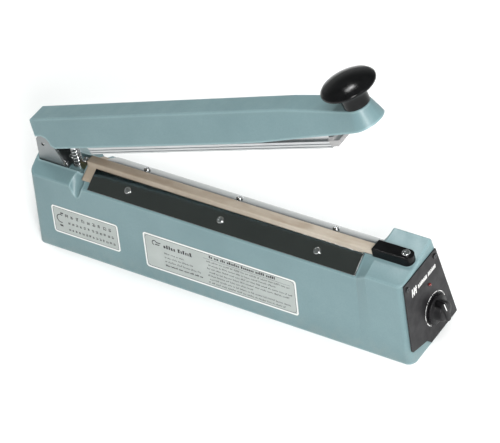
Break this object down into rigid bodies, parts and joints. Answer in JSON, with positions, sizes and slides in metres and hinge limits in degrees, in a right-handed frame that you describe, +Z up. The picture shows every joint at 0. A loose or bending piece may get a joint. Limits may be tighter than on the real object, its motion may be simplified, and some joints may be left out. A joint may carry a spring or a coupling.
{
  "type": "impulse heat sealer",
  "caption": "Bench-top impulse heat sealer with a hinged cast arm, a black hand knob and a timer panel on the end",
  "frame": {"origin": "middle of the underside of the body, on the bench", "axes": "+X along the body from the hinge to the control panel, +Y to the rear, +Z up"},
  "size_m": [0.4465, 0.0778, 0.2987],
  "materials": {
    "paint": "satin",
    "steel_plate": "satin",
    "bright_steel": "polished",
    "black_rubber": "matte",
    "brass": "satin",
    "black_plastic": "matte",
    "red_plastic": "matte",
    "insulating_board": "matte",
    "ribbon": "satin",
    "ptfe_cloth": "matte",
    "polished_strip": "polished",
    "black_gloss": "gloss",
    "white_label": "satin",
    "dark_panel": "satin",
    "red_lens": "gloss",
    "light_plastic": "satin",
    "grey_plastic": "matte",
    "circuit_board": "satin",
    "aluminium": "satin",
    "core_iron": "matte",
    "winding_tape": "satin",
    "silicone": "matte"
  },
  "bodies": {
    "base": {"base_housing": "paint", "bottom_cover": "steel_plate", "bottom_cover_screws": "bright_steel", "cord_grommet": "black_rubber", "hinge_bracket": "steel_plate", "bracket_screws": "bright_steel", "hinge_pin": "bright_steel", "rod_guide": "bright_steel", "return_spring": "bright_steel", "microswitch": "black_plastic", "switch_bracket": "steel_plate", "switch_screws": "bright_steel", "ridge_bar": "insulating_board", "heating_element": "ribbon", "ptfe_cover": "ptfe_cloth", "front_strip": "polished_strip", "rear_strip": "polished_strip", "strip_screws": "bright_steel", "terminal_left": "brass", "terminal_right": "brass", "terminal_screws": "bright_steel", "end_cap": "black_gloss", "end_cap_screw": "bright_steel", "instruction_label": "white_label", "rating_label": "white_label", "control_plate": "dark_panel", "plate_screws": "bright_steel", "indicator_lamp": "red_lens", "timer_control": "grey_plastic", "timer_nut": "bright_steel", "timer_board": "circuit_board", "board_spacers": "grey_plastic", "board_relay": "black_plastic", "board_capacitor": "aluminium", "transformer_core": "core_iron", "transformer_coil": "winding_tape", "transformer_strap": "steel_plate", "transformer_screws": "bright_steel"},
    "arm": {"arm_cover": "paint", "arm_bracket": "steel_plate", "arm_bracket_screws": "bright_steel", "press_bar": "aluminium", "press_bar_end": "light_plastic", "press_bar_screws": "bright_steel", "silicone_strip": "silicone", "handle_knob": "black_gloss", "knob_screw": "bright_steel"},
    "push_rod": {"push_rod": "bright_steel"},
    "switch_button": {"switch_button": "red_plastic"},
    "timer_knob": {"timer_knob": "black_plastic", "timer_shaft": "aluminium"}
  },
  "joints": [
    {"name": "arm_hinge", "type": "hinge", "parent": "base", "child": "arm", "pos_m": [-0.188, 0, 0.125], "axis": [0, 1, 0], "range_deg": [0, 19.3], "stiffness_Nm_per_rad": 1.5, "springref_deg": -54.43},
    {"name": "push_rod_slide", "type": "slide", "parent": "base", "child": "push_rod", "axis": [0, 0, -1], "range_m": [0, 0.00346], "deforming": ["return_spring"]},
    {"name": "switch_button_slide", "type": "slide", "parent": "base", "child": "switch_button", "axis": [0, 0, -1], "range_m": [0, 0.0008]},
    {"name": "timer_knob_turn", "type": "hinge", "parent": "base", "child": "timer_knob", "pos_m": [0.2, 0.0087, 0.0305], "axis": [1, 0, 0], "range_deg": [-147.4, 122.6]}
  ],
  "couplings": [
    {"joint": "push_rod_slide", "follows": "arm_hinge", "m_per_rad": 0.010242},
    {"joint": "switch_button_slide", "follows": "arm_hinge", "m_per_rad": 0.002345}
  ]
}
